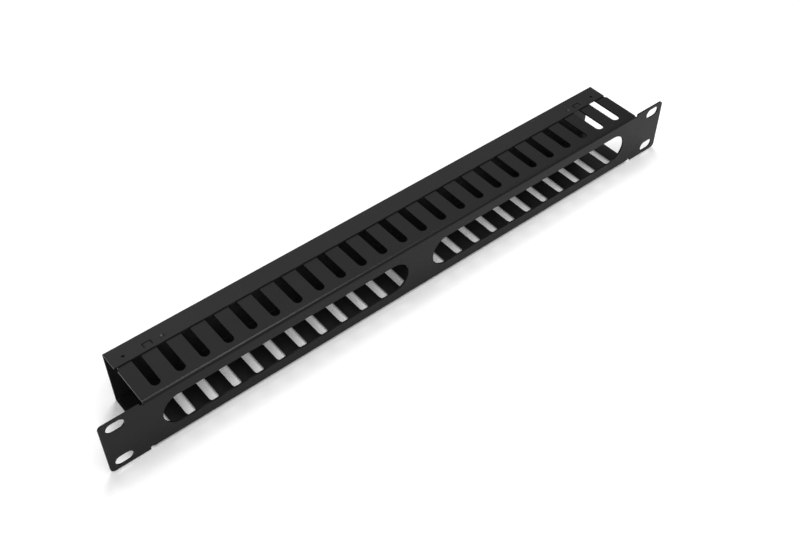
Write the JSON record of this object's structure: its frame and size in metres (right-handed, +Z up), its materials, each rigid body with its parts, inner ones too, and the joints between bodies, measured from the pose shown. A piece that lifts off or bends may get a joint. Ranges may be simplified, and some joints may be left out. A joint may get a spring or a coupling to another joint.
{
  "type": "horizontal cable manager",
  "caption": "One-unit rack cable manager: folded steel panel with slotted ears, two long windows and two combs of cable fingers, closed by a clip-on channel cover.",
  "frame": {"origin": "bottom centre of the bounding box, on the surface that the manager rests on", "axes": "+X along the panel, +Y from the panel's rail face out to the cover, +Z up; the cover pulls off towards +Y"},
  "size_m": [0.4826, 0.0472, 0.0463],
  "materials": {
    "powder_coat": "black semi-matt powder coat with a very fine texture"
  },
  "bodies": {
    "rack_panel": {"rack_panel": "powder_coat"},
    "cover": {"cover": "powder_coat"}
  },
  "joints": [
    {"name": "cover_pull", "type": "slide", "parent": "rack_panel", "child": "cover", "axis": [0, 1, 0], "range_m": [0, 0.05]}
  ]
}
